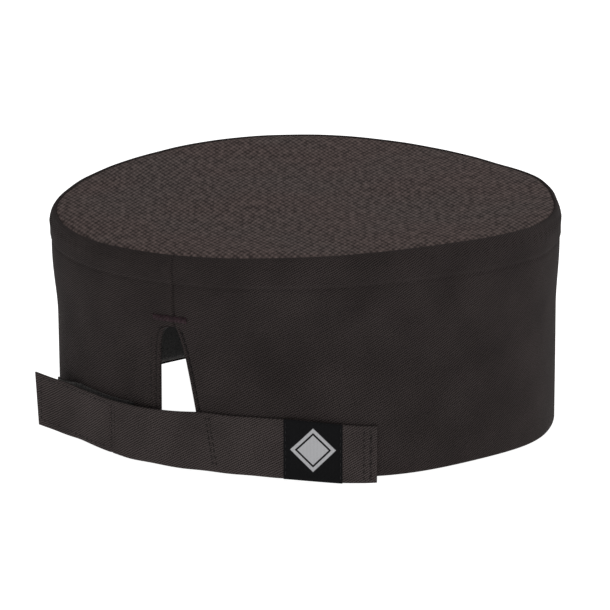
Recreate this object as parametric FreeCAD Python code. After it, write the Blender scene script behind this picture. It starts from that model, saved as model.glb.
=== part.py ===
import FreeCAD, Part
import os
from math import cos, hypot, pi, radians, sin

# A chef's skull cap: a flat mesh crown on a twill side band that is open at the back.
# A strap crosses the opening: it is sewn to the right flap and pressed on the left one.
# Millimetres, +Z up, origin at the centre of the rim, the wearer's face towards -Y.
# An angle runs round the band from the back centre (+Y), in degrees, positive towards +X.
# An offset is a distance out from the band's outer face, negative towards the head.

# The band's plan is nearly round. Worn cloth gives it faint lobes: each value is the share
# of the radius that one of them takes.
HALF_DEPTH = 95.0
HALF_WIDTH = 96.0
THREE_LOBES = (-0.0044, 0.0073)      # cosine and sine
FOUR_LOBES = (-0.0058, -0.0073)
CROWN_HEIGHT = 85.2
CROWN_TILT = -0.047          # rise of the crown per millimetre towards the back
UPPER_WALL = 45.0            # above this height the band tilts with the crown and swells
SWELL = 2.6                  # how far the band stands out below the crown seam
SWELL_PEAK = 74.0

# Cloth thicknesses, and the hair's breadth that keeps stacked plies from overlapping.
BAND_PLY = 0.6
LINING_PLY = 0.5
SWEATBAND_PLY = 0.8
CROWN_PLY = 0.8
STRAP_PLY = 1.0
TAPE_PLY = 0.8
LABEL_PLY = 0.4
HEM_PLY = 0.5
STACK_GAP = 0.05

SWEATBAND_HEIGHTS = (1.0, 31.0)
LINING_BOTTOM = 0.5
BINDING_WIDTH = 6.0
BINDING_PLY = 0.7

# The opening at the back centre: an upside-down V with a round apex.
OPENING_APEX = 54.2
APEX_X = -0.4
LEFT_EDGE = ((4.5, -5.0), (4.4, 25.0), (3.7, 43.0))          # (x, z) of its edges
RIGHT_EDGE = ((-7.0, 41.8), (-11.2, 22.0), (-15.2, -5.0))
BACK_WALL = (60.0, 120.0)            # y range that the back wall lies in
HEM_WIDTH = 6.0
SWEATBAND_SETBACK = 7.0
OPENING_STITCH_SETBACK = 2.6
SWEATBAND_STITCH_START = 16.0        # degrees from the back centre
BAR_TACK_ANGLES = (-5.2, 3.4)
BAR_TACK_HEIGHTS = (56.3, 59.3)
BAR_TACK_PLY = 0.7

# The strap, by angle: sewn end, swing hinge, peel hinge and free tip.
STRAP_HEIGHTS = (0.2, 21.0)
STRAP_END = -48.0
SWING_HINGE = -9.2
PEEL_HINGE = 14.6
STRAP_TIP = 43.2
HINGE_SLIT = 0.2
ANCHOR_OFFSET = 0.1
TAPE_STACK = 2.1             # room under the strap for the hook and loop tapes
FULL_STACK = 12.0
FLARE_START = 26.0
FLARE = 7.0                  # how far the free tip stands away from the band

LOOP_PATCH_ANGLES = (10.0, 50.0)
LOOP_PATCH_HEIGHTS = (1.5, 22.0)
LOOP_PATCH_OFFSET = 0.1
HOOK_PATCH_ANGLES = (15.8, 42.0)
HOOK_PATCH_HEIGHTS = (1.2, 20.0)
LABEL_ANGLES = (-40.3, -27.5)

STITCH_PITCH = 2.8
STITCH_LENGTH = 2.0
THREAD_RADIUS = 0.16
EDGE_MARGIN = 1.2                    # from a piece's end to the nearest stitch

WALL_LEVELS = (UPPER_WALL, 50.0, 55.0, 60.0, 65.0, 70.0, 74.0, 77.0, 80.0)
PLAN_POINTS = 36
PATCH_POINTS = 9


def mix(low, high, share):
    return low + (high - low) * share


def smooth(share):
    share = min(max(share, 0.0), 1.0)
    return share * share * (3.0 - 2.0 * share)


def swell(height):
    """How far the band's outer face stands out at this height."""
    if height <= SWELL_PEAK:
        return SWELL * smooth((height - UPPER_WALL) / (SWELL_PEAK - UPPER_WALL))
    return SWELL * smooth((CROWN_HEIGHT - height) / (CROWN_HEIGHT - SWELL_PEAK))


def wall_point(angle, height, offset):
    """A point at this offset from the band's outer face; heights are those before the tilt."""
    turn = radians(angle)
    lobes = 1.0 + THREE_LOBES[0] * cos(3 * turn) + THREE_LOBES[1] * sin(3 * turn)
    lobes += FOUR_LOBES[0] * cos(4 * turn) + FOUR_LOBES[1] * sin(4 * turn)
    x = HALF_WIDTH * sin(turn) * lobes
    y = HALF_DEPTH * cos(turn) * lobes
    grow = 1.0 + (swell(height) + offset) / hypot(x, y)
    tilt = CROWN_TILT * max(0.0, height - UPPER_WALL) / (CROWN_HEIGHT - UPPER_WALL)
    return FreeCAD.Vector(x * grow, y * grow, height + tilt * y * grow)


def strap_offset(angle):
    """Offset of the strap's inner face."""
    lift = smooth((angle - SWING_HINGE) / (FULL_STACK - SWING_HINGE))
    flare = max(0.0, (angle - FLARE_START) / (STRAP_TIP - FLARE_START))
    return ANCHOR_OFFSET + TAPE_STACK * lift + FLARE * flare * flare


def opening_edge(widen):
    """The opening's edge as (x, z) points, from the rim over the apex and back down."""
    left = [(x + widen, z) for x, z in LEFT_EDGE]
    right = [(x - widen, z) for x, z in RIGHT_EDGE]
    return left + [(APEX_X, OPENING_APEX + widen)] + right


def spline(points, closed=False):
    curve = Part.BSplineCurve()
    curve.interpolate(Points=points, PeriodicFlag=closed)
    return curve.toShape()


def plan_wire(height, offset):
    """The band's whole outline at one height."""
    step = 360.0 / PLAN_POINTS
    points = [wall_point(index * step, height, offset) for index in range(PLAN_POINTS)]
    return Part.Wire([spline(points, closed=True)])


def body_of_wall(bottom, top, offset):
    """Everything inside the wall at this offset, between two heights."""
    levels = [level for level in WALL_LEVELS if bottom < level < top]
    wires = [plan_wire(level, offset) for level in [bottom] + levels + [top]]
    return Part.makeLoft(wires, True, True)


def ply(bottom, top, outer, inner):
    """A closed tube of cloth between two offsets."""
    return body_of_wall(bottom, top, outer).cut(body_of_wall(bottom, top, inner))


def opening_prism(widen):
    """The opening, widened by a distance, running right through the back wall."""
    near, far = BACK_WALL
    points = [FreeCAD.Vector(x, near, z) for x, z in opening_edge(widen)]
    sill = Part.LineSegment(points[-1], points[0]).toShape()
    face = Part.Face(Part.Wire([spline(points), sill]))
    return face.extrude(FreeCAD.Vector(0, far - near, 0))


def patch(angles, heights, inner, outer):
    """A curved piece of cloth between two angles, two heights and two offsets."""
    step = (angles[1] - angles[0]) / (PATCH_POINTS - 1)
    stops = [angles[0] + index * step for index in range(PATCH_POINTS)]
    wires = []
    for height in heights:
        near = [wall_point(angle, height, inner(angle)) for angle in stops]
        far = [wall_point(angle, height, outer(angle)) for angle in stops]
        ends = [Part.LineSegment(far[0], near[0]).toShape(), Part.LineSegment(near[-1], far[-1]).toShape()]
        wires.append(Part.Wire([spline(near), ends[1], spline(far[::-1]), ends[0]]))
    return Part.makeLoft(wires, True, True)


def flat_patch(angles, heights, inner, thickness):
    """A patch at one offset from the band."""
    return patch(angles, heights, lambda angle: inner, lambda angle: inner + thickness)


def strap_piece(angles):
    return patch(angles, STRAP_HEIGHTS, strap_offset, lambda angle: strap_offset(angle) + STRAP_PLY)


def stitch(start, end):
    """One straight stitch of thread, centred between two needle holes."""
    run = end.sub(start)
    direction = FreeCAD.Vector(run).normalize()
    margin = (run.Length - min(STITCH_LENGTH, run.Length * 0.75)) / 2
    length = run.Length - 2 * margin
    return Part.makeCylinder(THREAD_RADIUS, length, start.add(direction.multiply(margin)), run)


def stitch_row(place, start, end, length):
    """Stitches from start to end along the curve that place() gives."""
    count = max(1, round(length / STITCH_PITCH))
    holes = [place(mix(start, end, index / count)) for index in range(count + 1)]
    return [stitch(first, second) for first, second in zip(holes, holes[1:])]


def box_stitches(angles, heights, offset):
    """A rectangle of stitches on a patch."""
    arc = abs(radians(angles[1] - angles[0])) * HALF_WIDTH
    rise = heights[1] - heights[0]
    rows = []
    for height in heights:
        rows += stitch_row(lambda angle: wall_point(angle, height, offset(angle)), *angles, arc)
    for angle in angles:
        rows += stitch_row(lambda height: wall_point(angle, height, offset(angle)),
                           heights[0] + STITCH_PITCH / 2, heights[1] - STITCH_PITCH / 2, rise - STITCH_PITCH)
    return rows


def opening_stitches(side):
    """The row of stitches that runs beside one edge of the opening."""
    edge = opening_edge(OPENING_STITCH_SETBACK)
    run = edge[0:3] if side == "left" else edge[4:7]
    guide = spline([FreeCAD.Vector(x, 0, z) for x, z in run])
    stops = [point for point in guide.discretize(Distance=STITCH_PITCH) if point.z > 1.5]
    offset = 0.2 if side == "left" else STACK_GAP + THREAD_RADIUS
    holes = [on_band(point, offset) for point in stops if side == "left" or point.z > STRAP_HEIGHTS[1] + 0.6]
    return [stitch(first, second) for first, second in zip(holes, holes[1:])]


def on_band(point, offset):
    """The point of the back wall that is behind an (x, z) point."""
    share = point.x / (HALF_WIDTH * 0.99)
    return wall_point(share * 180.0 / pi, point.z, offset)


def side_band():
    return ply(0.0, CROWN_HEIGHT - CROWN_PLY, 0.0, -BAND_PLY).cut(opening_prism(0.0))


def band_lining():
    outer = -BAND_PLY - STACK_GAP
    top = CROWN_HEIGHT - CROWN_PLY - BINDING_PLY - 2 * STACK_GAP
    return ply(LINING_BOTTOM, top, outer, outer - LINING_PLY).cut(opening_prism(0.0))


def sweatband():
    outer = -BAND_PLY - LINING_PLY - 2 * STACK_GAP
    return ply(*SWEATBAND_HEIGHTS, outer, outer - SWEATBAND_PLY).cut(opening_prism(SWEATBAND_SETBACK))


def sweatband_stitches():
    offset = -BAND_PLY - LINING_PLY - SWEATBAND_PLY - 3 * STACK_GAP - THREAD_RADIUS
    height = SWEATBAND_HEIGHTS[1] - 2.0
    start, end = SWEATBAND_STITCH_START, 360 - SWEATBAND_STITCH_START
    length = radians(end - start) * HALF_DEPTH
    return stitch_row(lambda angle: wall_point(angle, height, offset), start, end, length)


def crown_panel():
    wires = [plan_wire(height, 0.0) for height in (CROWN_HEIGHT - CROWN_PLY, CROWN_HEIGHT)]
    return Part.makeLoft(wires, True, True)


def crown_seam_binding():
    outer = -BAND_PLY - STACK_GAP
    top = CROWN_HEIGHT - CROWN_PLY - STACK_GAP
    return ply(top - BINDING_PLY, top, outer, outer - BINDING_WIDTH)


def binding_stitches():
    height = CROWN_HEIGHT - CROWN_PLY - BINDING_PLY - 2 * STACK_GAP - THREAD_RADIUS
    offset = -BAND_PLY - BINDING_WIDTH / 2
    return stitch_row(lambda angle: wall_point(angle, height, offset), 0, 360, 2 * pi * HALF_DEPTH)


def opening_hem(side):
    """The strip that faces one edge of the opening on the inside."""
    outer = -BAND_PLY - LINING_PLY - 2 * STACK_GAP
    strip = ply(SWEATBAND_HEIGHTS[0], OPENING_APEX, outer, outer - HEM_PLY)
    strip = strip.common(opening_prism(HEM_WIDTH)).cut(opening_prism(0.0))
    half = HALF_WIDTH
    corner = FreeCAD.Vector(APEX_X if side == "left" else APEX_X - half, 0, -1)
    return strip.common(Part.makeBox(half, BACK_WALL[1], CROWN_HEIGHT, corner))


def bar_tack():
    return flat_patch(BAR_TACK_ANGLES, BAR_TACK_HEIGHTS, STACK_GAP, BAR_TACK_PLY)


def loop_patch():
    return flat_patch(LOOP_PATCH_ANGLES, LOOP_PATCH_HEIGHTS, LOOP_PATCH_OFFSET, TAPE_PLY)


def loop_patch_stitches():
    angles = (LOOP_PATCH_ANGLES[0] + 1, LOOP_PATCH_ANGLES[1] - 1)
    heights = (LOOP_PATCH_HEIGHTS[0] + 1.5, LOOP_PATCH_HEIGHTS[1] - 1.0)
    offset = LOOP_PATCH_OFFSET + TAPE_PLY + STACK_GAP + THREAD_RADIUS
    return box_stitches(angles, heights, lambda angle: offset)


def hook_patch():
    face = STACK_GAP
    return patch(HOOK_PATCH_ANGLES, HOOK_PATCH_HEIGHTS,
                 lambda angle: strap_offset(angle) - face - TAPE_PLY, lambda angle: strap_offset(angle) - face)


def hook_patch_stitches():
    """The box of stitches that shows on the strap's outer face."""
    return box_stitches(HOOK_PATCH_ANGLES, HOOK_PATCH_HEIGHTS, on_strap)


def on_strap(angle):
    """Offset of a thread that lies on the strap's outer face."""
    return strap_offset(angle) + STRAP_PLY + STACK_GAP + THREAD_RADIUS


def strap_end_stitches():
    """A zigzag across the strap's sewn end."""
    low, high = STRAP_HEIGHTS[0] + EDGE_MARGIN, STRAP_HEIGHTS[1] - EDGE_MARGIN
    teeth = 10
    lanes = (STRAP_END + 1.0, STRAP_END + 2.6)
    holes = []
    for index in range(teeth + 1):
        angle = lanes[index % 2]
        holes.append(wall_point(angle, mix(low, high, index / teeth), on_strap(angle)))
    return [stitch(first, second) for first, second in zip(holes, holes[1:])]


def strap_hinge_stitches():
    """Two slanting rows that sew the strap to the right flap beside the opening."""
    rows = []
    for lane in (0.0, -1.1):
        place = lambda height: wall_point(lane - 11.9 + 0.09 * height, height, on_strap(SWING_HINGE))
        low, high = STRAP_HEIGHTS[0] + EDGE_MARGIN, STRAP_HEIGHTS[1] - EDGE_MARGIN
        rows += stitch_row(place, low, high, high - low)
    return rows


def woven_label():
    return flat_patch(LABEL_ANGLES, STRAP_HEIGHTS, ANCHOR_OFFSET + STRAP_PLY + STACK_GAP, LABEL_PLY)


def label_stitches():
    """One row down each side of the label."""
    offset = ANCHOR_OFFSET + STRAP_PLY + LABEL_PLY + 2 * STACK_GAP + THREAD_RADIUS
    rows = []
    for angle in (LABEL_ANGLES[0] + 0.6, LABEL_ANGLES[1] - 0.6):
        low, high = STRAP_HEIGHTS[0] + EDGE_MARGIN, STRAP_HEIGHTS[1] - EDGE_MARGIN
        rows += stitch_row(lambda height: wall_point(angle, height, offset), low, high, high - low)
    return rows


PIECES = {
    "side_band": side_band(),
    "band_lining": band_lining(),
    "sweatband": sweatband(),
    "sweatband_stitches": sweatband_stitches(),
    "crown_panel": crown_panel(),
    "crown_seam_binding": crown_seam_binding(),
    "binding_stitches": binding_stitches(),
    "opening_hem_left": opening_hem("left"),
    "opening_hem_right": opening_hem("right"),
    "opening_stitches_left": opening_stitches("left"),
    "opening_stitches_right": opening_stitches("right"),
    "bar_tack": bar_tack(),
    "loop_patch": loop_patch(),
    "loop_patch_stitches": loop_patch_stitches(),
    "strap_anchor": strap_piece((STRAP_END, SWING_HINGE)),
    "strap_end_stitches": strap_end_stitches(),
    "strap_hinge_stitches": strap_hinge_stitches(),
    "woven_label": woven_label(),
    "label_stitches": label_stitches(),
    "strap_span": strap_piece((SWING_HINGE + HINGE_SLIT, PEEL_HINGE)),
    "strap_tail": strap_piece((PEEL_HINGE + HINGE_SLIT, STRAP_TIP)),
    "hook_patch": hook_patch(),
    "hook_patch_stitches": hook_patch_stitches(),
}

os.makedirs("parts", exist_ok=True)
for name, shape in PIECES.items():
    solid = Part.makeCompound(shape) if isinstance(shape, list) else shape
    solid.exportStep(f"parts/{name}.step")
    print(f"{name}: {len(solid.Solids)} solid(s), {solid.Volume:.0f} mm3, valid {solid.isValid()}")

for name, angle in (("swing", SWING_HINGE), ("peel", PEEL_HINGE)):
    axis = wall_point(angle, sum(STRAP_HEIGHTS) / 2, strap_offset(angle) + STRAP_PLY)
    print(f"{name} hinge axis at x {axis.x:.2f}, y {axis.y:.2f}")
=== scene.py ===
import random
import bpy
import numpy as np
from math import cos, pi, radians, sin, tau
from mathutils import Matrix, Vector


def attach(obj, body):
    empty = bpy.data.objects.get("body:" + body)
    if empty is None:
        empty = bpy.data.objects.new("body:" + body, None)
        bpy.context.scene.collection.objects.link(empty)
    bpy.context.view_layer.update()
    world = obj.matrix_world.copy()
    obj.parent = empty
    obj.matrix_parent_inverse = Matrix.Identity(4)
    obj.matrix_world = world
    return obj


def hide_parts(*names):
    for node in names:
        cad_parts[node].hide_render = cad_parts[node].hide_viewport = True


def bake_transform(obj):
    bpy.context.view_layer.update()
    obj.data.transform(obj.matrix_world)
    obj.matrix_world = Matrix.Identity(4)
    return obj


# A chef's skull cap in dark twill, seen from behind. Lengths are millimetres until a mesh is made.
# An angle runs round the band from the back centre (+Y), in degrees, positive towards +X.
# An offset is a distance out from the band's outer face, negative towards the head.

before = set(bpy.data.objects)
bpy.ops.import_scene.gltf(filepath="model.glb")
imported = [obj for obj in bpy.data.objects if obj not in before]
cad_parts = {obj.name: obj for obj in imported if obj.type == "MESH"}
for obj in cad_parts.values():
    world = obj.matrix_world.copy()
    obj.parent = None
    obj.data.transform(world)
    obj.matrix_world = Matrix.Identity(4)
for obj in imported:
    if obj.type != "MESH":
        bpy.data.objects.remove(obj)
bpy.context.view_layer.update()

MM = 0.001
ARC = 95.0 * pi / 180          # millimetres round the band for one degree

# The cap's plan and heights, as the frame has them.
HALF_DEPTH = 95.0
HALF_WIDTH = 96.0
THREE_LOBES = (-0.0044, 0.0073)
FOUR_LOBES = (-0.0058, -0.0073)
CROWN_HEIGHT = 85.2
UPPER_WALL = 45.0
CROWN_TILT_X = 0.007
CROWN_TILT = -0.047
CROWN_SADDLE = (-0.62, -2.13)  # the crown seam's two-lobed rise and fall: cosine and sine
SIDE_BULGE = 3.6               # how far the band stands out at two places on the side away from the tip
RIM_WAVE = 0.7                 # how much the rim waves up and down

BAND_PLY = 0.6
LINING_PLY = 0.5
CROWN_PLY = 0.8
STRAP_PLY = 1.0
FOLD = 0.8                     # radius of a turned edge

APEX = 54.4
STRAP_END = -48.0
SWING_HINGE = -9.2
PEEL_HINGE = 14.6
STRAP_TIP = 43.2
LABEL_ANGLES = (-40.3, -27.5)
LOOP_PATCH_ANGLES = (10.0, 50.0)
LOOP_PATCH_HEIGHTS = (1.5, 22.0)
HOOK_PATCH_ANGLES = (15.8, 42.0)
HOOK_PATCH_HEIGHTS = (2.4, 20.0)
SWEATBAND_HEIGHTS = (1.0, 31.0)


# ---------------------------------------------------------------- shape of the cap

def smooth(share):
    share = np.clip(share, 0.0, 1.0)
    return share * share * (3.0 - 2.0 * share)


def bell(distance, width):
    return np.exp(-(distance / width) ** 2)


def plan(angle):
    """x and y of the band's outline, as arrays."""
    turn = np.radians(angle)
    lobes = 1.0 + THREE_LOBES[0] * np.cos(3 * turn) + THREE_LOBES[1] * np.sin(3 * turn)
    lobes = lobes + FOUR_LOBES[0] * np.cos(4 * turn) + FOUR_LOBES[1] * np.sin(4 * turn)
    facing = (np.asarray(angle) + 180.0) % 360.0 - 180.0
    lobes = lobes + SIDE_BULGE / HALF_WIDTH * (bell(facing + 90.0, 18.0) + 0.6 * bell(facing + 145.0, 12.0))
    return HALF_WIDTH * np.sin(turn) * lobes, HALF_DEPTH * np.cos(turn) * lobes


def seam_rise(angle, x, y):
    """How far the crown seam is above or below its mean height."""
    turn = np.radians(2 * angle)
    return CROWN_TILT_X * x + CROWN_TILT * y + CROWN_SADDLE[0] * np.cos(turn) + CROWN_SADDLE[1] * np.sin(turn)


def swell(angle, height):
    """The band stands out towards the crown seam, most on the side of the strap's tip."""
    full = 1.9 * smooth((height - 40.0) / 28.0)
    slight = 1.1 * smooth((height - 46.0) / 26.0) - 0.1 * smooth((height - 72.0) / 13.0)
    side = 0.5 + 0.5 * np.cos(np.radians(angle - 57.0))
    return slight + (full - slight) * side


def drape(angle, height):
    """The soft unevenness of worn cloth."""
    turn = np.radians(angle)
    lower = 0.22 * np.sin(5 * turn + 0.6 + 0.02 * height) + 0.13 * np.sin(11 * turn - 0.035 * height)
    upper = 0.10 * np.sin(19 * turn + 0.9) + 0.06 * np.sin(31 * turn + 0.11 * height)
    return lower + upper * smooth((height - 30.0) / 40.0)


def wall(angle, height, offset):
    """Points in metres at this offset from the band's outer face."""
    angle, height, offset = np.broadcast_arrays(*(np.asarray(v, float) for v in (angle, height, offset)))
    x, y = plan(angle)
    grow = 1.0 + (swell(angle, height) + drape(angle, height) + offset) / np.hypot(x, y)
    x, y = x * grow, y * grow
    rise = np.clip((height - UPPER_WALL) / (CROWN_HEIGHT - UPPER_WALL), 0.0, None)
    wave = RIM_WAVE * np.cos(np.radians(5 * angle + 70.0)) * smooth(1.0 - height / 30.0)
    return np.stack([x, y, height + rise * seam_rise(angle, x, y) + wave], -1) * MM


def left_edge(height):
    """Angle of the opening's left edge: upright, then turning in to the back seam at the apex."""
    share = np.clip(height / APEX, 0.0, 1.0)
    return (4.4 - 3.6 * share ** 12 - 4.0 * share ** 120) / ARC


def right_edge(height):
    """Angle of its right edge: nearly straight up to the apex under the bar tack."""
    share = np.clip(height / APEX, 0.0, 1.0)
    return (-14.6 + 6.6 * share + 4.2 * share ** 2 + 0.6 * share ** 40) / ARC


def strap_offset(angle):
    """Offset of the strap's inner face."""
    lift = smooth((angle - SWING_HINGE) / (12.0 - SWING_HINGE))
    flare = np.clip((angle - 26.0) / (STRAP_TIP - 26.0), 0.0, None)
    return 0.1 + 2.1 * lift + 7.0 * flare ** 2


def strap_bottom(angle):
    sag = 1.0 * smooth((8.0 - angle) / 14.0) + 1.5 * smooth((-angle - 28.0) / 20.0)
    return 0.3 + 1.2 * bell(angle - 24.0, 11.0) - sag


def strap_top(angle):
    hump = 1.1 * smooth((2.0 - angle) / 12.0)
    return 21.0 + hump - 2.9 * smooth((-angle - 26.0) / 22.0)


# ---------------------------------------------------------------- meshes

def quads(rows, columns, first=0, flip=False):
    index = np.arange(rows * columns).reshape(rows, columns) + first
    corners = [index[:-1, :-1], index[:-1, 1:], index[1:, 1:], index[1:, :-1]]
    faces = np.stack([c.ravel() for c in corners], -1)
    return faces[:, ::-1] if flip else faces


def make_object(name, points, faces, uv, material):
    """A smooth-shaded mesh object; uv is in millimetres, one pair for each point."""
    mesh = bpy.data.meshes.new(name)
    mesh.from_pydata(np.asarray(points).tolist(), [], [list(map(int, f)) for f in faces])
    layer = mesh.uv_layers.new(name="UVMap")
    loops = np.zeros(len(mesh.loops), int)
    mesh.loops.foreach_get("vertex_index", loops)
    layer.data.foreach_set("uv", (np.asarray(uv)[loops] * MM).ravel())
    mesh.polygons.foreach_set("use_smooth", [True] * len(mesh.polygons))
    mesh.update()
    piece = bpy.data.objects.new(name, mesh)
    bpy.context.scene.collection.objects.link(piece)
    piece.data.materials.append(material)
    return piece


def closed_cloth(name, outer, inner, uv, material):
    """A closed sheet between two grids of points of one shape."""
    rows, columns = outer.shape[:2]
    count = rows * columns
    index = np.arange(count).reshape(rows, columns)
    border = np.concatenate([index[0], index[1:, -1], index[-1, -2::-1], index[-2:0:-1, 0]])
    following = np.roll(border, -1)
    rim = np.stack([border, border + count, following + count, following], -1)
    faces = np.concatenate([quads(rows, columns), quads(rows, columns, count, flip=True), rim])
    points = np.concatenate([outer.reshape(-1, 3), inner.reshape(-1, 3)])
    pair = np.concatenate([uv.reshape(-1, 2)] * 2)
    return make_object(name, points, faces, pair, material)


def finish_piece(piece, body, slot, *nodes):
    if nodes:
        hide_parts(*nodes)
    if body:
        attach(piece, body)
    return piece


def tube(path, radius, sides=6):
    """Points and faces of a tube round a path, closed at both ends."""
    path = np.asarray(path, float)
    along = np.gradient(path, axis=0)
    along /= np.linalg.norm(along, axis=1)[:, None]
    side = np.cross(along, [0.31, 0.52, 0.79])
    side /= np.linalg.norm(side, axis=1)[:, None]
    other = np.cross(along, side)
    turn = np.arange(sides) * tau / sides
    radius = np.broadcast_to(radius, len(path))
    ring = side[:, None] * np.cos(turn)[None, :, None] + other[:, None] * np.sin(turn)[None, :, None]
    points = (path[:, None] + ring * radius[:, None, None]).reshape(-1, 3)
    faces = []
    for row in range(len(path) - 1):
        for column in range(sides):
            a, b = row * sides + column, row * sides + (column + 1) % sides
            faces.append((a, b, b + sides, a + sides))
    faces.append(tuple(range(sides))[::-1])
    faces.append(tuple(range(len(points) - sides, len(points))))
    return points, faces


def bundle(name, tubes, material):
    """Many tubes as one object."""
    points, faces, uv, first = [], [], [], 0
    for tube_points, tube_faces in tubes:
        points.append(tube_points)
        faces += [tuple(index + first for index in face) for face in tube_faces]
        uv.append(tube_points[:, [0, 2]] / MM)
        first += len(tube_points)
    return make_object(name, np.concatenate(points), faces, np.concatenate(uv), material)


def sewn_row(holes, outward, radius=0.19, gap=0.16, lift=0.16):
    """One bowed stitch between each pair of needle holes, in metres."""
    tubes = []
    share = np.linspace(0.0, 1.0, 7)[:, None]
    for start, end, out in zip(holes[:-1], holes[1:], outward[:-1]):
        low, high = start + (end - start) * gap, end - (end - start) * gap
        bow = (np.sin(share * pi) ** 0.6 * (lift + radius) - radius * 0.9) * MM
        path = low + (high - low) * share + out * bow
        taper = radius * MM * (0.55 + 0.45 * np.sin(share[:, 0] * pi) ** 0.5)
        tubes.append(tube(path, taper))
    return tubes


def outward_at(angle):
    turn = np.radians(np.asarray(angle, float))
    return np.stack([np.sin(turn), np.cos(turn), np.zeros_like(turn)], -1)


def sew_on_wall(angles, heights, offsets, facing=1.0, **thread):
    """Stitches whose needle holes are at these angles, heights and offsets."""
    given = (np.asarray(values, float) for values in (angles, heights, offsets))
    angles, heights, offsets = np.broadcast_arrays(*given)
    return sewn_row(wall(angles, heights, offsets), outward_at(angles) * facing, **thread)


# ---------------------------------------------------------------- materials

def link_or_set(tree, socket, value):
    if isinstance(value, bpy.types.NodeSocket):
        tree.links.new(value, socket)
    else:
        socket.default_value = value


def maths(tree, operation, first, second=0.0, clamp=False):
    node = tree.nodes.new("ShaderNodeMath")
    node.operation = operation
    node.use_clamp = clamp
    link_or_set(tree, node.inputs[0], first)
    link_or_set(tree, node.inputs[1], second)
    return node.outputs[0]


def cloth_axes(tree, turn=0.0):
    """The cloth's own x and y in millimetres, turned by an angle, and the whole vector."""
    uv = tree.nodes.new("ShaderNodeUVMap")
    uv.uv_map = "UVMap"
    mapping = tree.nodes.new("ShaderNodeMapping")
    mapping.inputs["Rotation"].default_value = (0, 0, radians(turn))
    mapping.inputs["Scale"].default_value = (1 / MM, 1 / MM, 1 / MM)
    tree.links.new(uv.outputs[0], mapping.inputs["Vector"])
    parts = tree.nodes.new("ShaderNodeSeparateXYZ")
    tree.links.new(mapping.outputs[0], parts.inputs[0])
    return parts.outputs[0], parts.outputs[1], mapping.outputs[0]


def noise(tree, vector, scale, detail=2.0):
    node = tree.nodes.new("ShaderNodeTexNoise")
    node.inputs["Scale"].default_value = scale
    node.inputs["Detail"].default_value = detail
    tree.links.new(vector, node.inputs["Vector"])
    return node.outputs["Fac"]


def wave(tree, distance, pitch, phase=0.0):
    """A sine from -1 to 1 with this pitch."""
    turns = maths(tree, "MULTIPLY", distance, tau / pitch)
    return maths(tree, "SINE", maths(tree, "ADD", turns, phase))


def level(tree, value, low, high, to_low=0.0, to_high=1.0):
    """Stretches low..high to to_low..to_high, held at the ends."""
    node = tree.nodes.new("ShaderNodeMapRange")
    for socket, number in zip(node.inputs[1:5], (low, high, to_low, to_high)):
        socket.default_value = number
    tree.links.new(value, node.inputs[0])
    return node.outputs[0]


def mix_colour(tree, factor, first, second):
    node = tree.nodes.new("ShaderNodeMix")
    node.data_type = "RGBA"
    link_or_set(tree, node.inputs[0], factor)
    link_or_set(tree, node.inputs[6], first)
    link_or_set(tree, node.inputs[7], second)
    return node.outputs[2]


def rgb(red, green, blue):
    """A colour given in display values from 0 to 255."""
    linear = tuple(((c / 255 + 0.055) / 1.055) ** 2.4 if c > 10 else c / 255 / 12.92
                   for c in (red, green, blue))
    return linear + (1.0,)


def fabric(name, roughness=0.95, sheen=0.3, specular=0.06, sheen_tint=(1.0, 0.95, 0.92, 1.0)):
    """A new material and its shader, matt with a soft sheen."""
    material = bpy.data.materials.new(name)
    material.use_nodes = True
    shader = material.node_tree.nodes["Principled BSDF"]
    shader.inputs["Roughness"].default_value = roughness
    shader.inputs["Specular IOR Level"].default_value = specular
    shader.inputs["Sheen Weight"].default_value = sheen
    shader.inputs["Sheen Roughness"].default_value = 0.45
    shader.inputs["Sheen Tint"].default_value = sheen_tint
    return material, material.node_tree, shader


def dress(tree, shader, colour, height, depth, strength=0.8):
    """Joins a colour and a relief of this depth in millimetres to a shader."""
    bump = tree.nodes.new("ShaderNodeBump")
    bump.inputs["Strength"].default_value = strength
    bump.inputs["Distance"].default_value = depth * MM
    tree.links.new(height, bump.inputs["Height"])
    tree.links.new(bump.outputs[0], shader.inputs["Normal"])
    tree.links.new(colour, shader.inputs["Base Color"])


def twill(name, dark, light, turn=31.0, pitch=0.80, sheen=0.0):
    """Fine diagonal ribs, each broken into short floats of yarn."""
    material, tree, shader = fabric(name, sheen=sheen)
    along, across, vector = cloth_axes(tree, turn)
    wander = maths(tree, "MULTIPLY", noise(tree, vector, 0.6, 3.0), 4.0)
    ribs = wave(tree, across, pitch, wander)
    floats = wave(tree, along, 0.8, maths(tree, "MULTIPLY", across, 2.1))
    fibre = noise(tree, vector, 2.4, 4.0)
    relief = maths(tree, "MULTIPLY_ADD", ribs, 0.36)
    relief.node.inputs[2].default_value = 0.5
    relief = maths(tree, "ADD", relief, maths(tree, "MULTIPLY", floats, 0.10))
    relief = maths(tree, "ADD", relief, level(tree, fibre, 0.3, 0.7, -0.24, 0.24), clamp=True)
    cloth = mix_colour(tree, relief, dark, light)
    patches = level(tree, noise(tree, vector, 0.045, 3.0), 0.3, 0.7, 0.0, 0.35)
    cloth = mix_colour(tree, patches, cloth, tuple(0.8 * c for c in dark[:3]) + (1.0,))
    fleck = level(tree, noise(tree, vector, 3.6, 1.0), 0.66, 0.78, 0.0, 0.35)
    cloth = mix_colour(tree, fleck, cloth, tuple(1.7 * c for c in light[:3]) + (1.0,))
    dress(tree, shader, cloth, relief, 0.1)
    return material


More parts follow.
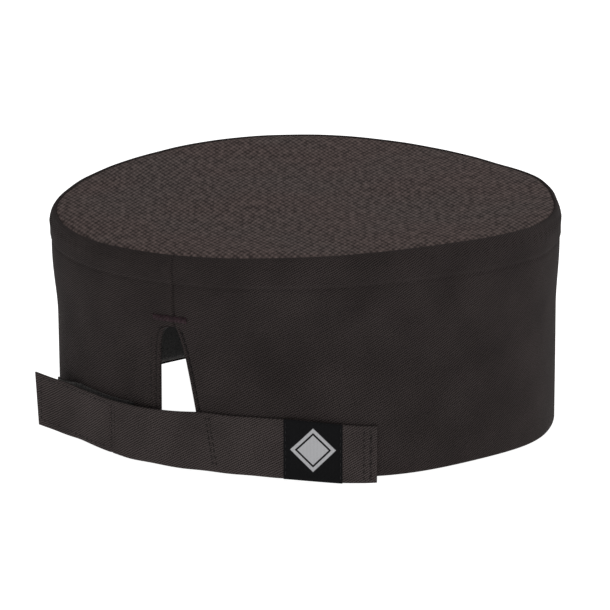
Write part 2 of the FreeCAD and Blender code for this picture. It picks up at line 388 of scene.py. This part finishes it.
def mesh_knit(name, dark, light, turn):
    """A knitted mesh: staggered pores between raised ribs."""
    material, tree, shader = fabric(name, sheen=0.0)
    x, y, vector = cloth_axes(tree, turn)
    pore_width, pore_length = 2.3, 5.0
    wander = level(tree, noise(tree, vector, 0.12, 2.0), 0.3, 0.7, -0.5, 0.5)
    right = maths(tree, "ADD", maths(tree, "MULTIPLY", x, tau / pore_width), wander)
    deep = maths(tree, "MULTIPLY", y, tau / pore_length)
    first = maths(tree, "COSINE", maths(tree, "ADD", right, deep))
    second = maths(tree, "COSINE", maths(tree, "SUBTRACT", right, deep))
    lattice = maths(tree, "ADD", first, second)
    pore = level(tree, lattice, 0.5, 1.6)
    nub = level(tree, lattice, -0.5, -1.7)
    drawn = tree.nodes.new("ShaderNodeCombineXYZ")
    tree.links.new(x, drawn.inputs[0])
    tree.links.new(maths(tree, "MULTIPLY", y, 0.3), drawn.inputs[1])
    uneven = level(tree, noise(tree, drawn.outputs[0], 0.5, 2.0), 0.3, 0.7, -0.3, 0.3)
    fibre = level(tree, noise(tree, drawn.outputs[0], 1.5, 3.0), 0.3, 0.7, -0.2, 0.2)
    relief = maths(tree, "ADD", maths(tree, "MULTIPLY", nub, 0.55), 0.4)
    relief = maths(tree, "SUBTRACT", relief, maths(tree, "MULTIPLY", pore, 0.4))
    relief = maths(tree, "ADD", relief, maths(tree, "ADD", fibre, uneven))
    # Both colour mixes follow the relief: the pores are painted dark as shade seen through holes the closed
    # sheet does not have, and the raised nubs are painted lighter as highlight.
    cloth = mix_colour(tree, level(tree, relief, 0.0, 1.1), dark, light)
    greyer = level(tree, noise(tree, vector, 0.022, 2.0), 0.4, 0.62, 0.0, 0.45)
    grey_cloth = mix_colour(tree, level(tree, relief, 0.0, 1.1), rgb(44, 41, 40), rgb(94, 87, 85))
    cloth = mix_colour(tree, greyer, cloth, grey_cloth)
    dress(tree, shader, cloth, relief, 0.18)
    return material


def plain_weave(name, dark, light, pitch=0.55, depth=0.1):
    material, tree, shader = fabric(name, sheen=0.15)
    x, y, vector = cloth_axes(tree)
    warp, weft = wave(tree, x, pitch), wave(tree, y, pitch)
    relief = level(tree, maths(tree, "MULTIPLY", warp, weft), -1.0, 1.0)
    relief = maths(tree, "ADD", relief, level(tree, noise(tree, vector, 1.7, 3.0), 0.3, 0.7, -0.3, 0.3))
    cloth = mix_colour(tree, level(tree, relief, 0.0, 1.0), dark, light)
    dress(tree, shader, cloth, relief, depth)
    return material


def pile(name, dark, light, scale, depth):
    """Short loops or fuzz with no direction."""
    material, tree, shader = fabric(name, roughness=1.0, sheen=0.25)
    _, _, vector = cloth_axes(tree)
    cells = tree.nodes.new("ShaderNodeTexVoronoi")
    cells.inputs["Scale"].default_value = scale
    tree.links.new(vector, cells.inputs["Vector"])
    relief = maths(tree, "SUBTRACT", noise(tree, vector, scale * 1.6, 4.0),
                   maths(tree, "MULTIPLY", cells.outputs["Distance"], 0.6))
    cloth = mix_colour(tree, level(tree, relief, -0.2, 0.6), dark, light)
    dress(tree, shader, cloth, relief, depth)
    return material


def thread(name, dark, light):
    """Twisted sewing thread."""
    material, tree, shader = fabric(name, roughness=0.7, sheen=0.05, specular=0.15)
    x, y, vector = cloth_axes(tree, 35.0)
    twist = wave(tree, maths(tree, "ADD", x, y), 0.42)
    tone = maths(tree, "ADD", twist, level(tree, noise(tree, vector, 0.5, 2.0), 0.3, 0.7, -0.6, 0.6))
    cloth = mix_colour(tree, level(tree, tone, -1.2, 1.2), dark, light)
    dress(tree, shader, cloth, twist, 0.05)
    return material


def label_weave(name, half_width, half_height):
    """A black damask label with one plain pale diamond, woven in fine rows."""
    material, tree, shader = fabric(name, roughness=0.8, sheen=0.03, specular=0.1)
    x, y, _ = cloth_axes(tree)
    rows = wave(tree, y, 0.34)
    columns = wave(tree, x, 0.5)
    fine = maths(tree, "ADD", maths(tree, "MULTIPLY", rows, 0.6), maths(tree, "MULTIPLY", columns, 0.4))
    from_centre = maths(tree, "ADD", maths(tree, "DIVIDE", maths(tree, "ABSOLUTE", x), half_width),
                        maths(tree, "DIVIDE", maths(tree, "ABSOLUTE", y), half_height))
    ragged = maths(tree, "ADD", from_centre, maths(tree, "MULTIPLY", fine, 0.008))
    outer = level(tree, ragged, 0.985, 1.015, 1.0, 0.0)
    line = maths(tree, "ABSOLUTE", maths(tree, "SUBTRACT", ragged, 0.74))
    gap = level(tree, line, 0.045, 0.07)
    inside = maths(tree, "MULTIPLY", outer, gap)
    ground = mix_colour(tree, level(tree, fine, -1.0, 1.0), rgb(4, 4, 5), rgb(18, 18, 20))
    figure = mix_colour(tree, level(tree, fine, -1.0, 1.0), rgb(150, 150, 153), rgb(196, 196, 198))
    cloth = mix_colour(tree, inside, ground, figure)
    relief = maths(tree, "ADD", maths(tree, "MULTIPLY", fine, 0.4), maths(tree, "MULTIPLY", inside, 0.5))
    dress(tree, shader, cloth, relief, 0.1)
    return material


VIEW_TURN = 33.04              # the view is from behind, this far round towards -X
BAND_TWILL = twill("band_twill", rgb(14, 12, 12), rgb(68, 61, 60))
# The strap's twill is the band's cloth painted lighter, as painted light for the light the strap catches
# facing a little upward.
STRAP_TWILL_PAINTED_LIGHT = twill("strap_twill_painted_light", rgb(16, 14, 13), rgb(84, 76, 75))
CROWN_MESH = mesh_knit("crown_mesh", rgb(48, 41, 40), rgb(99, 86, 83), -VIEW_TURN)
LINING = plain_weave("lining", rgb(20, 20, 20), rgb(38, 38, 38))
BINDING = plain_weave("binding", rgb(22, 21, 21), rgb(44, 42, 41), 0.8, 0.14)
SWEATBAND = pile("sweatband", rgb(16, 16, 16), rgb(44, 44, 44), 1.6, 0.3)
LOOP_TAPE = pile("loop_tape", rgb(8, 8, 9), rgb(26, 26, 28), 2.4, 0.4)
HOOK_TAPE = plain_weave("hook_tape", rgb(10, 10, 11), rgb(26, 26, 28), 0.7, 0.12)
DARK_THREAD = thread("dark_thread", rgb(14, 12, 12), rgb(48, 42, 41))
TACK_THREAD = thread("tack_thread", rgb(22, 12, 16), rgb(62, 42, 48))
LOOP_THREAD = thread("black_thread", rgb(14, 14, 15), rgb(38, 38, 40))
LABEL_WEAVE = label_weave("label_weave", 8.2, 8.2)


# ---------------------------------------------------------------- pieces

def across_band(near, step):
    """Distances from one edge of the opening to the other, closer together beside the edges."""
    length = 360.0 * ARC
    middle = np.linspace(near[-1], length - near[-1], int((length - 2 * near[-1]) / step))[1:-1]
    return np.concatenate([near, middle, (length - near)[::-1]])


def band_angles(heights, distances):
    """A grid of angles that follows both edges of the opening."""
    left = left_edge(heights)[:, None]
    right = right_edge(heights)[:, None] + 360.0
    length = 360.0 * ARC
    near_left = left + distances[None, :] / ARC
    near_right = right - (length - distances[None, :]) / ARC
    share = smooth(np.clip((distances - 10.0) / (length - 20.0), 0.0, 1.0))[None, :]
    return near_left + (near_right - near_left) * share


def turned_edge(distance, radius=FOLD):
    """How far a rounded edge falls back at this distance from it."""
    inside = np.clip(radius - distance, 0.0, radius)
    return np.sqrt(np.clip(radius ** 2 - inside ** 2, 0.0, None)) - radius


def seam_pucker(arc):
    """The gathers along the crown seam, from -1 to 1."""
    return np.cos(arc * tau / 4.3 + 1.3 * np.sin(arc / 17.0))


def band_relief(angles, heights, from_left, from_right):
    """Seam ridge, puckers and stitched grooves of the outer ply."""
    arc = angles * ARC
    ridge = 0.45 * smooth((heights - 73.2) / 1.0) * (1 - smooth((heights - 80.0) / 3.0))
    line = -0.3 * bell(heights - 73.0, 0.6)
    pucker = seam_pucker(arc) * bell(heights - 81.0, 2.8)
    fine = np.cos(arc * tau / 2.9 + 0.8 * np.sin(arc / 9.0)) * bell(heights - 73.6, 1.3)
    relief = ridge + line + 0.32 * pucker + 0.09 * fine
    below = smooth((APEX + 1.0 - heights) / 2.0)
    relief = relief + below * turned_edge(np.minimum(from_left, from_right))
    relief = relief - (1 - below) * 0.75 * bell(np.minimum(from_left, from_right), 0.55)
    relief = relief + 0.12 * (1 - below) * bell(np.minimum(from_left, from_right) - 1.3, 0.9)
    stitched = 1.0 + 0.5 * np.cos(heights * tau / 2.6)
    relief = relief - below * 0.75 * bell(from_left - 1.7, 0.4)
    relief = relief - below * 0.15 * bell(from_left - 4.0, 0.4) * stitched
    relief = relief - below * 0.75 * bell(from_right - 1.7, 0.45) * stitched
    return relief + turned_edge(heights)


def side_band():
    heights = np.concatenate([[0.0, 0.08, 0.25, 0.5, 0.8, 1.3], np.arange(2.2, 46.0, 1.4),
                              np.arange(46.0, 51.0, 1.0), np.arange(51.0, 56.0, 0.4),
                              np.arange(56.0, 71.0, 1.5), np.arange(71.0, 82.9, 0.7)])
    near = np.array([0.0, 0.08, 0.25, 0.5, 0.8, 1.2, 1.7, 2.1, 2.4, 2.7, 3.0, 3.4,
                     3.7, 4.0, 4.3, 4.6, 5.2, 6.0, 7.0, 8.5])
    distances = across_band(near, 1.35)
    angles = band_angles(heights, distances)
    grid = np.broadcast_to(heights[:, None], angles.shape)
    from_left = (angles - left_edge(heights)[:, None]) * ARC
    from_right = (right_edge(heights)[:, None] + 360.0 - angles) * ARC
    offsets = band_relief(angles, grid, from_left, from_right)
    # The lip rolls over at the top and goes down into the crown seam.
    lip_heights = np.array([83.6, 84.2, 84.75, 85.1, 85.2, 85.0, 84.3, 83.5])
    lip_offsets = np.array([-0.12, -0.35, -0.7, -1.1, -1.5, -1.8, -2.0, -2.1])
    pucker = seam_pucker(angles[-1] * ARC)
    lip = lip_offsets[:, None] + 0.05 * pucker[None, :] * bell(lip_heights - 83.6, 1.2)[:, None]
    lip = lip - 0.75 * bell(np.minimum(from_left[-1], from_right[-1]), 0.55)[None, :]
    angles = np.concatenate([angles, np.repeat(angles[-1:], len(lip_heights), 0)])
    grid = np.concatenate([grid, np.repeat(lip_heights[:, None], angles.shape[1], 1)])
    offsets = np.concatenate([offsets, lip])
    lean = np.concatenate([np.full(len(heights), 1.0), np.linspace(0.8, 0.3, len(lip_heights))])[:, None]
    outer = wall(angles, grid, offsets)
    inner = wall(angles, grid - 0.6 * (1 - lean), offsets - BAND_PLY * lean)
    climb = np.concatenate([heights, heights[-1] + 0.75 * np.arange(1, len(lip_heights) + 1)])
    uv = np.stack([angles * ARC, np.broadcast_to(climb[:, None], angles.shape)], -1)
    piece = closed_cloth("side_band_cloth", outer, inner, uv, BAND_TWILL)
    finish_piece(piece, "cap", "band_twill", "side_band")
    return piece


def disc_shell(name, top, under, uv, material):
    """A closed round sheet between two sets of rings, each set running in to a centre point."""
    rings, columns = top.shape[:2]
    points = np.concatenate([top.reshape(-1, 3), under.reshape(-1, 3),
                             top[-1:].mean(1), under[-1:].mean(1)])
    index = np.arange(rings * columns).reshape(rings, columns)
    ahead = np.roll(index, -1, axis=1)
    count = rings * columns
    face_up = np.stack([index[:-1], ahead[:-1], ahead[1:], index[1:]], -1).reshape(-1, 4)
    edge = np.stack([index[0], index[0] + count, ahead[0] + count, ahead[0]], -1)
    faces = face_up.tolist() + (face_up[:, ::-1] + count).tolist() + edge.tolist()
    for start, centre, flip in ((index[-1], 2 * count, 1), (index[-1] + count, 2 * count + 1, -1)):
        faces += [(a, b, centre)[::flip] for a, b in zip(start, np.roll(start, -1))]
    pair = np.concatenate([uv.reshape(-1, 2)] * 2 + [uv[-1:].mean(1)] * 2)
    return make_object(name, points, faces, pair, material)


def crown():
    """The crown rises out of the seam's groove and lies flat inside it."""
    inset = np.array([2.3, 2.15, 2.1, 2.15, 2.4, 2.8, 3.4, 4.3, 5.6, 7.5])
    rise = np.array([-2.4, -1.7, -1.1, -0.7, -0.45, -0.3, -0.18, -0.08, 0.0, 0.05])
    ring_share = np.linspace(1.0, 0.02, 44)[1:]
    angles = np.linspace(0.0, 360.0, 360, endpoint=False)
    x, y = plan(angles)
    reach = np.hypot(x, y) + swell(angles, CROWN_HEIGHT) + drape(angles, CROWN_HEIGHT)
    radii = np.array([reach - d for d in inset] + [(reach - inset[-1]) * share for share in ring_share])
    flat = radii[..., None] * (np.stack([x, y], -1) / np.hypot(x, y)[:, None])[None]
    share = radii / reach[None]
    turn = np.radians(2 * angles)[None]
    saddle = (CROWN_SADDLE[0] * np.cos(turn) + CROWN_SADDLE[1] * np.sin(turn)) * share ** 2
    height = CROWN_HEIGHT + CROWN_TILT_X * flat[..., 0] + CROWN_TILT * flat[..., 1] + saddle
    lift = np.concatenate([rise, 0.05 * np.ones(len(ring_share))])[:, None]
    pucker = 0.03 * seam_pucker(angles * ARC)[None] * bell(share - 0.965, 0.02)
    sag = 0.45 * np.sin(flat[..., 0] / 17.0 + 0.8) * np.cos(flat[..., 1] / 23.0)
    sag = (sag + 0.3 * np.sin(flat[..., 1] / 11.0 + flat[..., 0] / 31.0)) * smooth((1 - share) * 8.0)
    top = np.concatenate([flat, (height + lift + pucker + sag)[..., None]], -1)
    under = top - np.array([0.0, 0.0, CROWN_PLY])
    under[:5, :, :2] *= 0.9925
    climb = np.hypot(np.diff(inset), np.diff(rise))[::-1].cumsum()[::-1]
    climb = np.concatenate([climb, np.zeros(1 + len(ring_share))])
    spread = climb[:, None] + np.minimum(radii, reach - inset[-1])
    piece = disc_shell("crown_cloth", top * MM, under * MM, flat * (spread / radii)[..., None], CROWN_MESH)
    finish_piece(piece, "cap", "crown_mesh", "crown_panel")
    return piece


def inner_ply(name, heights, setback, outer, thickness, material, slot, node, step=3.0, bulge=0.0):
    """A ply inside the band that stops short of the opening's edges."""
    near = np.array([setback, setback + 0.4, setback + 1.2, setback + 3.0])
    angles = band_angles(heights, across_band(near, step))
    grid = np.broadcast_to(heights[:, None], angles.shape)
    share = (heights - heights[0]) / (heights[-1] - heights[0])
    crest = (bulge * np.sin(share * pi) ** 0.5)[:, None]
    face = outer + 0.0 * angles
    uv = np.stack([angles * ARC, grid], -1)
    back = wall(angles, grid, face - thickness - crest)
    piece = closed_cloth(name, wall(angles, grid, face), back, uv, material)
    finish_piece(piece, "cap", slot, node)
    return piece


def patch(name, angles, rows, low, high, inner, outer, material, columns=60, tuck=0.25, lean=0.0):
    """A closed piece of cloth with rounded edges; low, high, inner and outer are functions of the angle."""
    ends = np.array([0.0, 0.12, 0.4]) / (abs(angles[1] - angles[0]) * ARC)
    across = np.concatenate([ends, np.linspace(0, 1, columns)[1:-1], 1 - ends[::-1]])
    across = np.unique(np.round(across, 6))
    up = np.concatenate([[0.0, 0.006, 0.02], np.linspace(0, 1, rows)[1:-1], [0.98, 0.994, 1.0]])
    stops = angles[0] + (angles[1] - angles[0]) * across
    bottom, top = low(stops), high(stops)
    grid = bottom[None, :] + (top - bottom)[None, :] * up[:, None]
    stops = stops[None, :] + lean * up[:, None] * across[None, :] ** 6
    from_side = np.minimum(across, 1 - across)[None, :] * abs(angles[1] - angles[0]) * ARC
    from_end = np.minimum(up, 1 - up)[:, None] * np.mean(top - bottom)
    near_edge = np.minimum(from_side, from_end)
    thick = outer(stops) - inner(stops)
    fall = np.clip(1 - near_edge / 0.45, 0, 1) ** 2 * tuck
    front = wall(stops, grid, outer(stops) - fall * thick)
    back = wall(stops, grid, inner(stops) + fall * thick)
    uv = np.stack([stops * ARC, grid], -1)
    return closed_cloth(name, front, back, uv, material)


def strap_face(angle):
    """The strap's outer face, with the faint waves of folded cloth."""
    waves = 0.08 * np.sin(angle / 3.1) + 0.05 * np.sin(angle / 1.3 + 1.0)
    seam = -0.5 * bell((angle - HOOK_PATCH_ANGLES[0]) * ARC, 0.6)
    return strap_offset(angle) + STRAP_PLY + waves + seam


def strap():
    """One strap of cloth in two pieces: it bends out beside the opening, and its tail flares away from the
    band towards the tip.
    """
    def low(angle):
        return strap_bottom(angle) + 0.07 * np.sin(angle / 1.9)

    def high(angle):
        return strap_top(angle) + 0.07 * np.sin(angle / 1.7 + 1.0)

    long_piece = patch("strap_cloth", (STRAP_END, PEEL_HINGE), 16, low, high, strap_offset, strap_face,
                       STRAP_TWILL_PAINTED_LIGHT, columns=110)
    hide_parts("strap_anchor", "strap_span")
    turn_start, turn_end = wall((-10.4, -4.6), 10.0, 1.0)
    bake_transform(long_piece)
    tip = patch("strap_tail_cloth", (PEEL_HINGE, STRAP_TIP), 16, low, high, strap_offset, strap_face,
                STRAP_TWILL_PAINTED_LIGHT, columns=110, lean=1.0)
    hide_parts("strap_tail")
    peel_zone()[0]
    peel_zone()[1]
    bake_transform(tip)
    return long_piece, tip


def peel_zone():
    """Two points on the band's wall, at the strap's peel hinge and 3.4 degrees past it."""
    start, end = wall((PEEL_HINGE, PEEL_HINGE + 3.4), 10.0, 2.0)
    return tuple(start), tuple(end)


def bend_with_tip(piece):
    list(peel_zone())
    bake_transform(piece)


def hook_patch():
    base_ply = 0.35

    def low(angle):
        return angle * 0 + HOOK_PATCH_HEIGHTS[0]

    def high(angle):
        return angle * 0 + HOOK_PATCH_HEIGHTS[1]

    def face(angle):
        return strap_offset(angle) - 0.06

    def back(angle):
        return face(angle) - base_ply

    tape = patch("hook_patch_cloth", HOOK_PATCH_ANGLES, 10, low, high, back, face, HOOK_TAPE, columns=44)
    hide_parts("hook_patch")
    bend_with_tip(tape)
    hooks = []
    columns, rows, hook_height, margin = 26, 12, 0.42, 0.7
    across = HOOK_PATCH_ANGLES[1] - HOOK_PATCH_ANGLES[0] - 2 * margin
    for column in range(columns):
        for row in range(rows):
            angle = HOOK_PATCH_ANGLES[0] + margin + across * column / (columns - 1)
            height = 2.4 + 16.4 * (row + 0.5 * (column % 2)) / rows
            curl = np.array([0.0, 0.35, 0.75, 1.0, 0.95, 0.7])
            reach = np.array([0.0, 0.0, 0.05, 0.25, 0.5, 0.62])
            path = wall(angle, height + reach * 0.6, face(angle) - base_ply - curl * hook_height)
            hooks.append(tube(path, 0.09 * MM, 5))
    hooks = bundle("hook_patch_hooks", hooks, HOOK_TAPE)
    bend_with_tip(hooks)


def loop_patch():
    def low(angle):
        return angle * 0 + LOOP_PATCH_HEIGHTS[0]

    def high(angle):
        slope = 5.6 * smooth((angle - 29.0) / 22.0)
        return LOOP_PATCH_HEIGHTS[1] - 0.6 - slope + 0.1 * np.sin(angle * 1.7)

    def back(angle):
        return angle * 0 + 0.05

    def face(angle):
        return 0.85 + 0.05 * np.sin(angle * 2.3)

    piece = patch("loop_patch_cloth", LOOP_PATCH_ANGLES, 12, low, high, back, face, LOOP_TAPE, columns=60)
    finish_piece(piece, "cap", "loop_tape", "loop_patch")


def woven_label():
    def low(angle):
        return strap_bottom(angle) - 0.15

    def high(angle):
        return strap_top(angle) + 0.15

    def back(angle):
        return strap_face(angle) + 0.04

    def face(angle):
        return strap_face(angle) + 0.36

    piece = patch("woven_label_cloth", LABEL_ANGLES, 20, low, high, back, face, LABEL_WEAVE,
                  columns=24, tuck=0.45)
    middle = np.mean(LABEL_ANGLES)
    layer = piece.data.uv_layers["UVMap"].data
    uv = np.zeros(len(layer) * 2)
    layer.foreach_get("uv", uv)
    uv = uv.reshape(-1, 2) - np.array([middle * ARC, 10.7]) * MM
    layer.foreach_set("uv", uv.ravel())
    finish_piece(piece, "cap", "label_weave", "woven_label")


def opening_hem(side, node):
    """The narrow facing that is turned in behind one edge of the opening."""
    heights = np.linspace(1.2, 52.5, 40)
    across = np.array([0.15, 0.3, 0.6, 1.0, 2.0, 3.5, 5.0, 5.8, 6.0])
    edge = left_edge if side == "left" else right_edge
    sign = 1.0 if side == "left" else -1.0
    narrow = np.clip((APEX - heights) / 6.0, 0.15, 1.0)[:, None]
    angles = edge(heights)[:, None] + sign * across[None, :] * narrow / ARC
    grid = np.broadcast_to(heights[:, None], angles.shape)
    fall = turned_edge(across, 0.5)[None, :] + 0.0 * angles
    outer = wall(angles, grid, -1.22 + 0.0 * fall)
    inner = wall(angles, grid, -1.85 - fall)
    if side == "right":
        angles, outer, inner, grid = angles[:, ::-1], outer[:, ::-1], inner[:, ::-1], grid[:, ::-1]
    uv = np.stack([angles * ARC, grid], -1)
    piece = closed_cloth(f"{node}_cloth", outer, inner, uv, BAND_TWILL)
    finish_piece(piece, "cap", "band_twill", node)


def seam_binding():
    """A bias tape folded round the crown seam's allowance, a flat roll inside the corner."""
    angles = np.linspace(0.0, 360.0, 241)
    turn = np.linspace(0.0, tau, 19)
    x, y = plan(angles)
    reach = np.hypot(x, y) + swell(angles, 83.0) + drape(angles, 83.0)
    radii = reach[None] - 4.4 + 2.9 * np.cos(turn)[:, None]
    height = 83.1 + 0.62 * np.sin(turn)[:, None] + 0.06 * np.cos(angles * ARC * tau / 3.4)[None]
    bearing = np.stack([x, y], -1) / np.hypot(x, y)[:, None]
    flat = radii[..., None] * bearing[None]
    rise = height + seam_rise(angles[None], flat[..., 0], flat[..., 1])
    points = np.concatenate([flat, rise[..., None]], -1) * MM
    along = np.broadcast_to(angles * ARC, radii.shape)
    around = np.broadcast_to((turn * 1.9)[:, None], radii.shape)
    uv = np.stack([along, around], -1).reshape(-1, 2)
    points = points.reshape(-1, 3)
    piece = make_object("crown_seam_binding_cloth", points, quads(*radii.shape), uv, BINDING)
    finish_piece(piece, "cap", "lining", "crown_seam_binding")
    holes = np.linspace(0.0, 360.0, 215)
    hx, hy = plan(holes)
    out = np.stack([hx, hy], -1) / np.hypot(hx, hy)[:, None]
    spot = out * (np.hypot(hx, hy) + swell(holes, 83.0) + drape(holes, 83.0) - 5.2)[:, None]
    z = 82.5 + seam_rise(holes, spot[:, 0], spot[:, 1])
    row = sewn_row(np.column_stack([spot, z]) * MM, np.tile([0.0, 0.0, -1.0], (len(holes), 1)))
    stitches = bundle("binding_stitches_thread", row, DARK_THREAD)
    finish_piece(stitches, "cap", "dark_thread", "binding_stitches")


def sewing():
    """Every row of stitches."""
    def piece(name, rows, *nodes, body="cap", material=DARK_THREAD, slot="dark_thread"):
        return finish_piece(bundle(name, rows, material), body, slot, *nodes)

    heights = np.arange(2.0, 49.0, 2.6)
    piece("opening_stitches_left_thread",
          sew_on_wall(left_edge(heights) + 4.0 / ARC, heights, -0.18), "opening_stitches_left")
    heights = np.arange(22.6, 53.0, 2.5)
    piece("opening_stitches_right_thread",
          sew_on_wall(right_edge(heights) - 1.7 / ARC, heights, -0.16), "opening_stitches_right")
    around = np.linspace(11.0, 349.0, 207)
    piece("sweatband_stitches_thread",
          sew_on_wall(around, 29.0, -2.15, facing=-1.0), "sweatband_stitches")
    heights = np.linspace(1.4, 21.0, 9)
    rows = []
    for lane in (0.0, -0.85):
        angles = -11.6 + lane + 0.095 * heights
        rows += sew_on_wall(angles, heights, strap_face(angles) - 0.02)
    piece("strap_hinge_stitches_thread", rows, "strap_hinge_stitches")
    rows = []
    for lane, swing, count in ((1.0, 0.9, 17), (2.9, 0.1, 9)):
        heights = np.linspace(-1.2, 17.6, count)
        angles = STRAP_END + lane + swing * (np.arange(count) % 2)
        rows += sew_on_wall(angles, heights, strap_face(angles) - 0.02)
    piece("strap_end_stitches_thread", rows, "strap_end_stitches")
    rows = []
    for side in (LABEL_ANGLES[0] + 0.5, LABEL_ANGLES[1] - 0.5):
        heights = np.linspace(strap_bottom(side) + 1.0, strap_top(side) - 1.0, 9)
        rows += sew_on_wall(side, heights, strap_face(side) + 0.33, radius=0.13)
    piece("label_stitches_thread", rows, "label_stitches", material=LOOP_THREAD)
    low, high = LOOP_PATCH_HEIGHTS
    left, right = LOOP_PATCH_ANGLES
    stops = np.linspace(left + 1, right - 1, 24)
    rise = np.linspace(low + 1.4, high - 1.2, 8)
    rows = sew_on_wall(stops, high - 1.8 - 5.6 * smooth((stops - 29.0) / 22.0), 0.85)
    rows += sew_on_wall(stops, low + 1.4, 0.85) + sew_on_wall(left + 1, rise, 0.85)
    rows += sew_on_wall(right - 1, rise[:-2], 0.85)
    piece("loop_patch_stitches_thread", rows, "loop_patch_stitches", material=LOOP_THREAD)
    low, high = HOOK_PATCH_HEIGHTS
    left, right = HOOK_PATCH_ANGLES
    stops = np.linspace(left, right, 17)
    rise = np.linspace(low, high, 8)
    rows = []
    for angles, ups in ((stops, low + 0.6), (stops, high - 0.4), (left, rise), (right, rise)):
        rows += sew_on_wall(angles, ups, strap_face(np.asarray(angles)) - 0.05, radius=0.16)
    stitches = piece("hook_patch_stitches_thread", rows, "hook_patch_stitches", body=None)
    bend_with_tip(stitches)


def bar_tack():
    """Close threads side by side, over three that run the length of the tack."""
    random.seed(7)
    rows = []
    for height in (57.0, 57.9, 58.7):
        angles = np.linspace(-5.2, 3.4, 4)
        rows += sew_on_wall(angles, height, 0.05, radius=0.22, gap=0.02)
    count = 40
    for index in range(count):
        angle = -5.2 + 8.6 * index / (count - 1)
        low = 56.5 + random.uniform(-0.25, 0.25)
        high = 59.3 + random.uniform(-0.25, 0.25)
        lean = random.uniform(-0.12, 0.12)
        rows += sew_on_wall((angle - lean, angle + lean), (low, high), 0.08, radius=0.2, gap=0.0, lift=0.42)
    finish_piece(bundle("bar_tack_thread", rows, TACK_THREAD), "cap", "tack_thread", "bar_tack")


def build_cap():
    side_band()
    crown()
    heights = np.concatenate([[0.7, 1.0], np.arange(3.0, 82.0, 3.0), [82.3]])
    lining = inner_ply("band_lining_cloth", heights, 0.5, -BAND_PLY - 0.06, LINING_PLY, LINING,
                       "lining", "band_lining")
    heights = np.linspace(*SWEATBAND_HEIGHTS, 16)
    sweatband = inner_ply("sweatband_cloth", heights, 6.6, -1.22, 0.7, SWEATBAND,
                          "sweatband", "sweatband", 2.4, 0.35)
    opening_hem("left", "opening_hem_left")
    opening_hem("right", "opening_hem_right")
    seam_binding()
    loop_patch()
    strap()
    hook_patch()
    woven_label()
    sewing()
    bar_tack()


# ---------------------------------------------------------------- studio

VIEW_RISE = 13.58
VIEW_DISTANCE = 1.4
VIEW_LENS = 211.7
SENSOR = 36.0
VIEW_CENTRE = Vector((0.0, 0.0, 0.040))
VIEW_SLIDE = (-0.00101, 0.00188)


def camera():
    turn, rise = radians(VIEW_TURN), radians(VIEW_RISE)
    back = Vector((-sin(turn) * cos(rise), cos(turn) * cos(rise), sin(rise)))
    right = Vector((-cos(turn), -sin(turn), 0.0))
    up = back.cross(right)
    data = bpy.data.cameras.new("view")
    data.lens, data.sensor_width = VIEW_LENS, SENSOR
    data.clip_start, data.clip_end = 0.05, 20.0
    eye = bpy.data.objects.new("view", data)
    eye.location = VIEW_CENTRE + back * VIEW_DISTANCE + right * VIEW_SLIDE[0] + up * VIEW_SLIDE[1]
    eye.rotation_euler = back.to_track_quat("Z", "Y").to_euler()
    bpy.context.scene.collection.objects.link(eye)
    bpy.context.scene.camera = eye


def lamp(name, place, size, power):
    data = bpy.data.lights.new(name, "AREA")
    data.shape, data.size, data.energy = "DISK", size, power
    light = bpy.data.objects.new(name, data)
    light.location = place
    light.rotation_euler = (Vector(place) - VIEW_CENTRE).to_track_quat("Z", "Y").to_euler()
    bpy.context.scene.collection.objects.link(light)


def studio():
    floor_z = -0.0027
    size = 4.0
    mesh = bpy.data.meshes.new("floor")
    corners = [(-size, -size), (size, -size), (size, size), (-size, size)]
    mesh.from_pydata([(x, y, floor_z) for x, y in corners], [], [(0, 1, 2, 3)])
    floor = bpy.data.objects.new("floor", mesh)
    bpy.context.scene.collection.objects.link(floor)
    material, _, shader = fabric("floor", roughness=0.7, sheen=0.0)
    shader.inputs["Base Color"].default_value = (0.4, 0.4, 0.4, 1.0)
    shader.inputs["Emission Color"].default_value = (1.0, 1.0, 1.0, 1.0)
    shader.inputs["Emission Strength"].default_value = 1.0
    mesh.materials.append(material)
    world = bpy.data.worlds.new("studio")
    world.use_nodes = True
    world.node_tree.nodes["Background"].inputs[0].default_value = (1.0, 1.0, 1.0, 1.0)
    world.node_tree.nodes["Background"].inputs[1].default_value = 0.35
    bpy.context.scene.world = world
    lamp("key", (-0.6, 1.0, 1.3), 0.9, 5.0)
    lamp("top", (0.1, -0.4, 1.5), 1.2, 8.0)
    lamp("right_side", (-1.3, -1.4, 0.5), 0.5, 6.0)


build_cap()
camera()
studio()
bpy.context.scene.view_settings.view_transform = "Standard"
